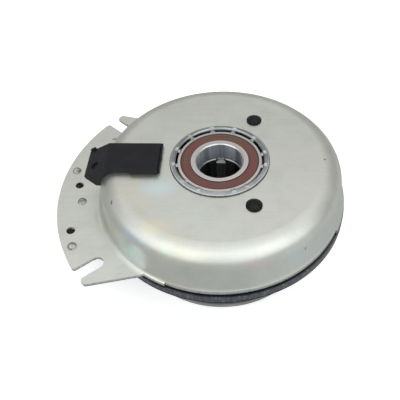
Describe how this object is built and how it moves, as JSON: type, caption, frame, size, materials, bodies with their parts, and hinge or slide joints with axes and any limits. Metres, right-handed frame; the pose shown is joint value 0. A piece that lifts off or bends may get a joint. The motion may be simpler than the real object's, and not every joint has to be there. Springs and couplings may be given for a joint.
{
  "type": "electromagnetic clutch",
  "caption": "Electromagnetic clutch-brake with drawn field shell, slotted anti-rotation flange, plug connector, keyed rotor hub, sprung armature and V-belt pulley on its own bearing.",
  "frame": {"origin": "on the shaft axis at the lower end of the rotor hub", "axes": "+Z along the shaft axis towards the engine side, -X towards the flange and connector"},
  "size_m": [0.1931, 0.1646, 0.0808],
  "materials": {
    "zinc_plated_steel": "satin clear zinc plate, faint blue and straw tints",
    "machined_steel": "turned, satin",
    "bobbin_plastic": "moulded, matte",
    "copper_wire": "enamelled copper wire, close wound",
    "potting_resin": "cast resin",
    "plug_plastic": "moulded, matte",
    "lead_insulation": "extruded insulation",
    "connector_plastic": "glass-filled nylon, fine texture",
    "tinned_brass": "tinned",
    "bearing_steel": "ground and polished",
    "seal_rubber": "brown-red, satin",
    "rivet_steel": "plated, peened",
    "spacer_steel": "plated tube",
    "shim_steel": "cold rolled",
    "dark_steel": "oiled low-carbon steel",
    "friction_material": "moulded friction compound",
    "hub_steel": "turned",
    "key_steel": "bright ground bar",
    "spring_steel": "blued spring steel",
    "ball_steel": "polished",
    "cage_plastic": "moulded nylon",
    "pulley_steel": "turned and plated",
    "armature_steel": "dark oiled steel, turned edge"
  },
  "bodies": {
    "field": {"field_shell": "zinc_plated_steel", "bearing_carrier": "machined_steel", "coil_bobbin": "bobbin_plastic", "coil_winding": "copper_wire", "coil_potting": "potting_resin", "coil_plugs": "plug_plastic", "coil_leads": "lead_insulation", "connector_housing": "connector_plastic", "connector_terminals": "tinned_brass", "field_bearing_outer_race": "bearing_steel", "field_bearing_upper_seal": "seal_rubber", "field_bearing_lower_seal": "seal_rubber", "flange_rivets": "rivet_steel", "brake_spacers": "spacer_steel", "brake_shims": "shim_steel", "brake_shoe": "dark_steel", "brake_lining": "friction_material"},
    "rotor": {"rotor_hub": "hub_steel", "key_stop": "key_steel", "rotor_disc": "dark_steel", "rotor_friction_ring": "friction_material", "field_bearing_inner_race": "bearing_steel", "pulley_bearing_inner_race": "bearing_steel", "hub_snap_ring": "spring_steel"},
    "field_cage": {"field_bearing_balls": "ball_steel", "field_bearing_cage": "cage_plastic"},
    "pulley_cage": {"pulley_bearing_balls": "ball_steel", "pulley_bearing_cage": "cage_plastic"},
    "pulley": {"pulley": "pulley_steel", "pulley_bearing_outer_race": "bearing_steel", "pulley_bearing_upper_seal": "seal_rubber", "pulley_bearing_lower_seal": "seal_rubber", "pulley_snap_ring": "spring_steel", "leaf_springs": "spring_steel", "spring_boss_rivets": "rivet_steel"},
    "armature": {"armature_disc": "armature_steel", "spring_end_rivets": "rivet_steel"}
  },
  "joints": [
    {"name": "rotor_spin", "type": "hinge", "parent": "field", "child": "rotor", "pos_m": [0, 0, 0.0695], "axis": [0, 0, 1], "continuous": true},
    {"name": "field_cage_spin", "type": "hinge", "parent": "field", "child": "field_cage", "pos_m": [0, 0, 0.0695], "axis": [0, 0, 1], "continuous": true},
    {"name": "pulley_spin", "type": "hinge", "parent": "rotor", "child": "pulley", "pos_m": [0, 0, 0.0135], "axis": [0, 0, 1], "continuous": true},
    {"name": "pulley_cage_spin", "type": "hinge", "parent": "rotor", "child": "pulley_cage", "pos_m": [0, 0, 0.0135], "axis": [0, 0, 1], "continuous": true},
    {"name": "armature_travel", "type": "slide", "parent": "pulley", "child": "armature", "axis": [0, 0, 1], "range_m": [0, 0.0004], "stiffness_N_per_m": 40000, "springref_m": -0.0005, "deforming": ["leaf_springs"]}
  ],
  "couplings": [
    {"joint": "field_cage_spin", "follows": "rotor_spin", "ratio": 0.388},
    {"joint": "pulley_cage_spin", "follows": "pulley_spin", "ratio": 0.574}
  ]
}
